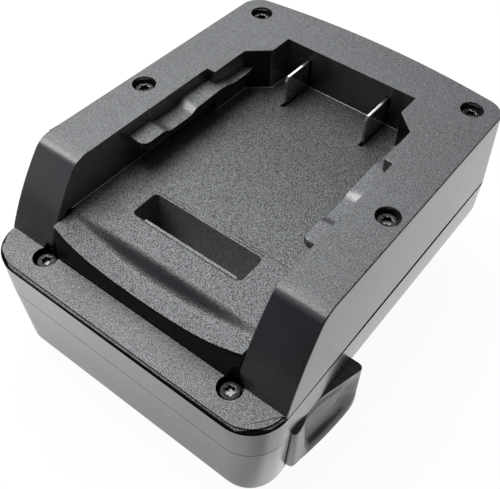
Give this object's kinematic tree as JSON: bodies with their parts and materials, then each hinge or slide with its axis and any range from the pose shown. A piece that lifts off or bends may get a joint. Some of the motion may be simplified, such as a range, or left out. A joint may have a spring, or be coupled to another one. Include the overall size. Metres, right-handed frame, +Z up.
{
  "type": "tool battery adapter",
  "caption": "Slide-on battery adapter for a cordless tool: open-front well with two upright blades on top, a rail block with two squeeze latches underneath.",
  "frame": {"origin": "middle of the bounding box, on the plane the adapter stands on", "axes": "+X to the adapter's right seen from its open front, +Y from the open front to the blades, +Z up out of the well"},
  "size_m": [0.095, 0.113, 0.0554],
  "materials": {
    "casing_top": "fine spark-eroded grain on top faces, smooth satin on the side walls and in the well",
    "deck_top": "fine spark-eroded grain",
    "casing_band": "smooth satin",
    "casing_lower": "smooth satin",
    "latch_plastic": "fine grain on the top, satin in the thumb scoop",
    "carrier_plastic": "matt glass-filled plastic",
    "blade_metal": "nickel plated, bright edges",
    "clip_brass": "plated spring brass",
    "bright_steel": "zinc plated",
    "spring_steel": "drawn spring wire",
    "screw_black": "black zinc, worn bright on the socket edges",
    "lead_red": "silicone insulation",
    "lead_black": "silicone insulation"
  },
  "bodies": {
    "casing": {"top_cover": "casing_top", "deck": "deck_top", "middle_shell": "casing_band", "lower_shell": "casing_lower", "right_pivot_pin": "bright_steel", "left_pivot_pin": "bright_steel", "right_latch_spring": "spring_steel", "left_latch_spring": "spring_steel", "positive_blade": "blade_metal", "negative_blade": "blade_metal", "blade_carrier": "carrier_plastic", "blade_carrier_screws": "bright_steel", "positive_clip": "clip_brass", "negative_clip": "clip_brass", "clip_carrier": "carrier_plastic", "clip_carrier_screws": "bright_steel", "positive_lead": "lead_red", "negative_lead": "lead_black", "rim_screws": "screw_black", "front_screws": "screw_black"},
    "right_latch_body": {"right_latch": "latch_plastic"},
    "left_latch_body": {"left_latch": "latch_plastic"}
  },
  "joints": [
    {"name": "right_latch_hinge", "type": "hinge", "parent": "casing", "child": "right_latch_body", "pos_m": [0.0396, -0.04095, 0.0124], "axis": [0, 0, 1], "range_deg": [0, 6], "stiffness_Nm_per_rad": 0.26, "springref_deg": -5.73, "deforming": ["right_latch_spring"]},
    {"name": "left_latch_hinge", "type": "hinge", "parent": "casing", "child": "left_latch_body", "pos_m": [-0.0396, -0.04095, 0.0124], "axis": [0, 0, -1], "range_deg": [0, 6], "stiffness_Nm_per_rad": 0.26, "springref_deg": -5.73, "deforming": ["left_latch_spring"]}
  ]
}
